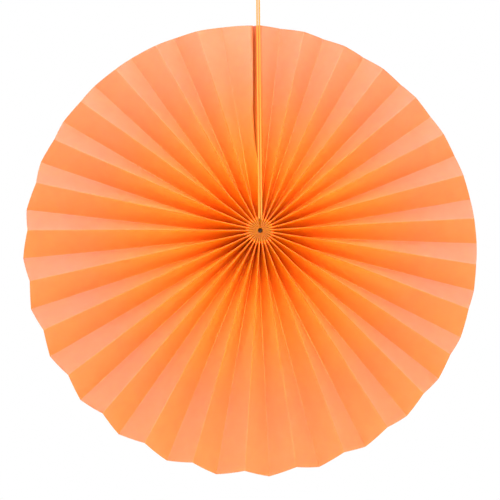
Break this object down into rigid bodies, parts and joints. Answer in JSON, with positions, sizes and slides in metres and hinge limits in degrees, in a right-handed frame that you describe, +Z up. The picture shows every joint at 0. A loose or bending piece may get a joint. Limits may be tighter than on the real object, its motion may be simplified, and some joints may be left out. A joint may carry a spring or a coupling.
{
  "type": "paper fan rosette",
  "caption": "Round pleated paper fan, gathered at its hub by a thread and glued along one seam, with a thread loop at the top to hang it as decoration.",
  "frame": {"origin": "on the axis of the hub, at the middle of the pleated disc, halfway between its front and its back", "axes": "-Y out of the front of the disc, +Z up along the glued seam towards the hanging loop, +X to the right as seen from the front"},
  "size_m": [0.2992, 0.0228, 0.3549],
  "materials": {
    "coloured_paper": "matt, dyed through",
    "thread": "twisted cotton, matt"
  },
  "bodies": {
    "root": {"pleated_disc": "coloured_paper", "gathering_thread": "thread", "hanging_thread": "thread", "thread_knot": "thread"}
  },
  "joints": []
}
